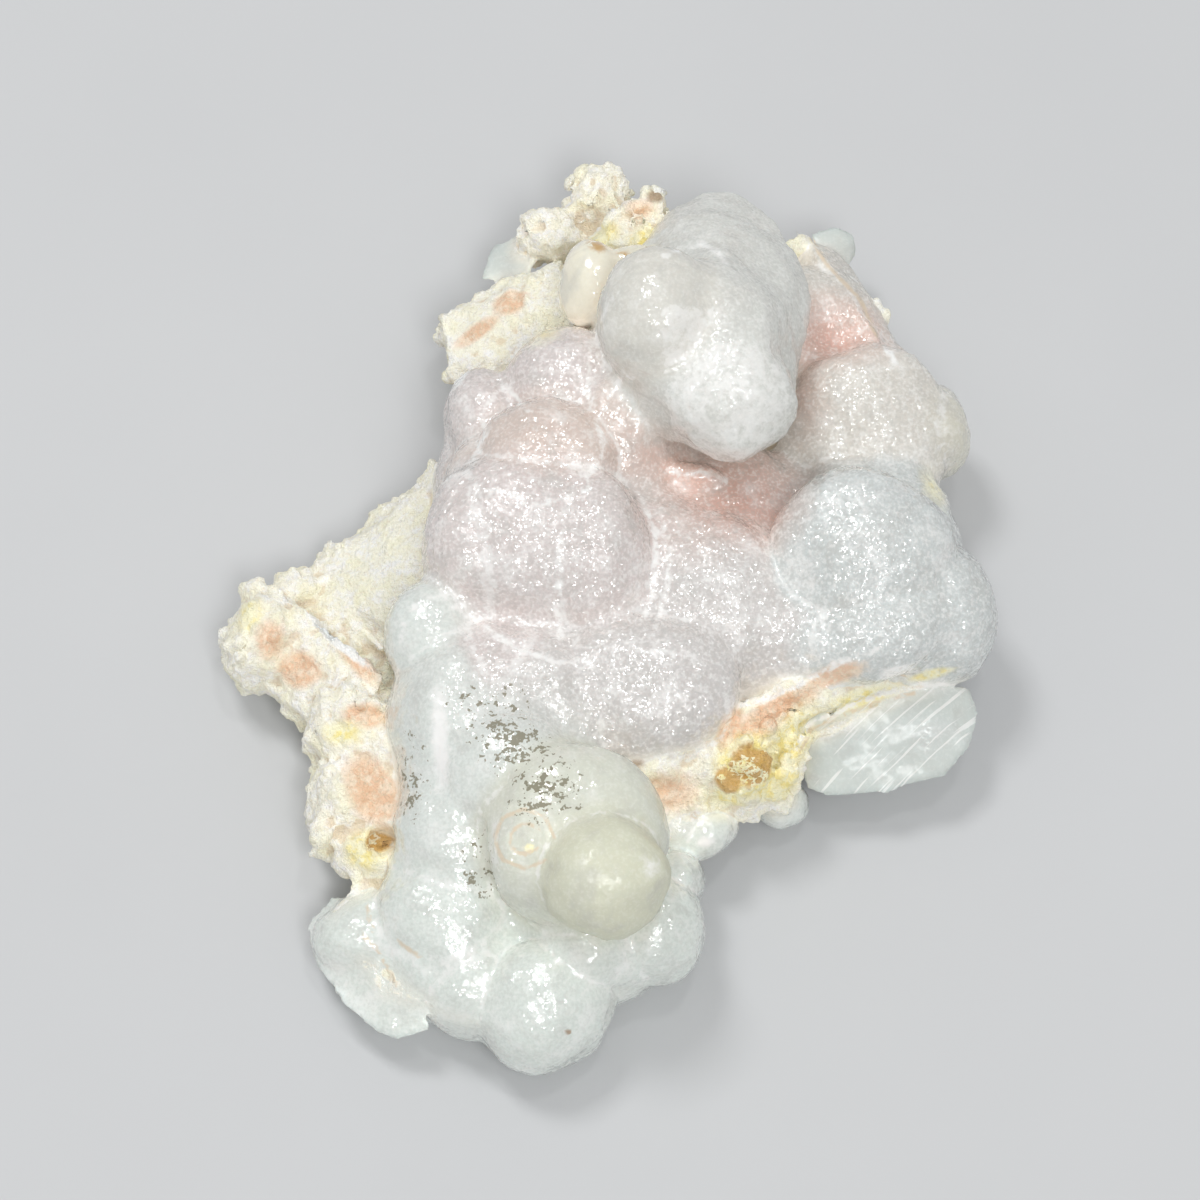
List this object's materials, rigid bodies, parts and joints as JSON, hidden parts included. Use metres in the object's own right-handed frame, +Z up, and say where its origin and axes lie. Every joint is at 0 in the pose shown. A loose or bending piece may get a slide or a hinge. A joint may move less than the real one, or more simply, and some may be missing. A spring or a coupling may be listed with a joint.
{
  "type": "pink opal",
  "caption": "Loose hand specimen of pale pink botryoidal opal: rounded translucent lobes grown together on crumbly cream matrix, resting on its broken back.",
  "frame": {"origin": "centre of the stone's box, on the surface that it rests on", "axes": "+Z up from the broken back to the lobes; +Y along the stone's length, from the rounded foot to the crown and spur; +X to the right, from the narrow wing to the broad shoulder"},
  "size_m": [0.0545, 0.0682, 0.023],
  "materials": {
    "opal": "satin"
  },
  "bodies": {
    "root": {"pink_opal": "opal"}
  },
  "joints": []
}
